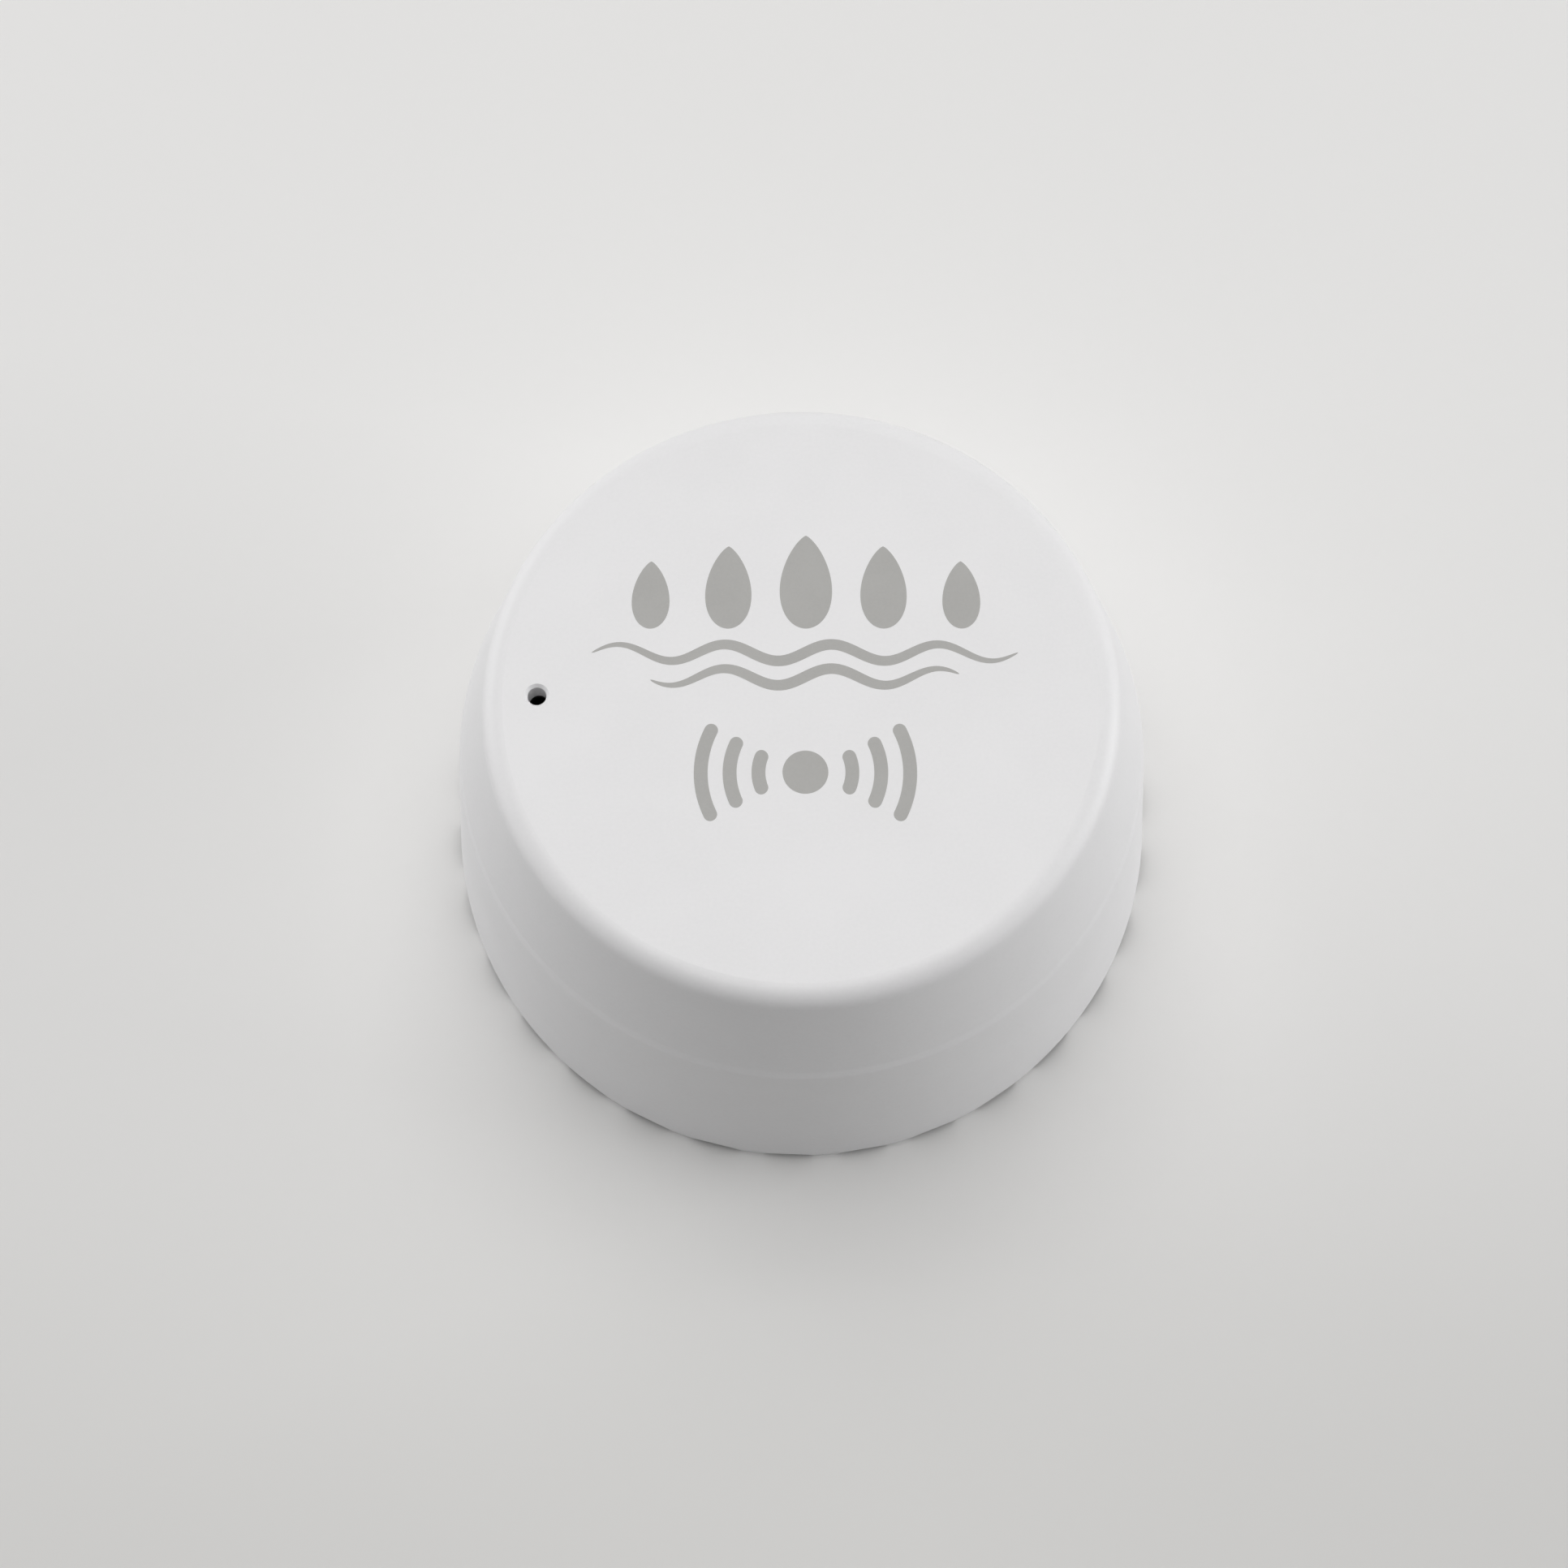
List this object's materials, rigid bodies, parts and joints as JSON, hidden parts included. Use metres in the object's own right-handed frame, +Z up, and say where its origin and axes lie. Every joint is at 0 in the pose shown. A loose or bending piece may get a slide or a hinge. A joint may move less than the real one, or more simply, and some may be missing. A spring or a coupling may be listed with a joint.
{
  "type": "water leak sensor",
  "caption": "Round battery-powered water leak sensor: white puck cover with a scalloped rim that unscrews from a base holding probes, circuit board, sounder, button and cells.",
  "frame": {"origin": "on the floor, under the middle of the puck", "axes": "+Z up along the axis of the puck and of its screw closure; -Y towards the viewer's side of the picture, the battery cells lie along Y, the sound hole is on the -X side"},
  "size_m": [0.065, 0.065, 0.0345],
  "materials": {
    "cover_white": "satin moulded ABS",
    "base_white": "satin moulded ABS",
    "deck_white": "fine matt moulded ABS",
    "seal_rubber": "soft silicone",
    "foot_rubber": "matt rubber",
    "probe_steel": "turned stainless",
    "screw_steel": "zinc plated",
    "contact_nickel": "nickel plated spring strip",
    "board_green": "solder mask over glass fibre",
    "module_blue": "solder mask over glass fibre",
    "shield_tin": "tinned sheet",
    "chip_black": "moulded epoxy",
    "capacitor_yellow": "moulded epoxy",
    "sounder_black": "satin moulded",
    "light_clear": "tinted clear epoxy",
    "button_grey": "satin moulded",
    "switch_black": "satin moulded",
    "cell_sleeve": "printed film sleeve over steel can"
  },
  "bodies": {
    "base": {"base_cup": "base_white", "foot_pads": "foot_rubber", "probe_screw_left": "probe_steel", "probe_screw_right": "probe_steel", "probe_seals": "seal_rubber", "probe_nuts": "screw_steel", "main_board": "board_green", "board_screws": "screw_steel", "radio_module": "module_blue", "radio_shield": "shield_tin", "controller_chip": "chip_black", "regulator": "chip_black", "capacitor": "capacitor_yellow", "sounder": "sounder_black", "light_spacer": "switch_black", "status_light": "light_clear", "switch_body": "switch_black", "battery_deck": "deck_white", "deck_screws": "screw_steel", "battery_cell_left": "cell_sleeve", "battery_cell_right": "cell_sleeve", "bridge_contact": "contact_nickel", "positive_contact": "contact_nickel", "negative_contact": "contact_nickel"},
    "seal": {"seal_ring": "seal_rubber"},
    "cover": {"top_cover": "cover_white"},
    "button": {"pairing_button": "button_grey", "switch_plunger": "button_grey"}
  },
  "joints": [
    {"name": "cover_lift", "type": "slide", "parent": "base", "child": "seal", "axis": [0, 0, 1], "range_m": [0, 0.036]},
    {"name": "cover_turn", "type": "hinge", "parent": "seal", "child": "cover", "pos_m": [0, 0, 0], "axis": [0, 0, 1], "range_deg": [0, 721]},
    {"name": "button_press", "type": "slide", "parent": "base", "child": "button", "axis": [0, 0, -1], "range_m": [0, 0.0005], "stiffness_N_per_m": 1500, "springref_m": -0.0003}
  ],
  "couplings": [
    {"joint": "cover_turn", "follows": "cover_lift", "rad_per_m": 349.07}
  ]
}
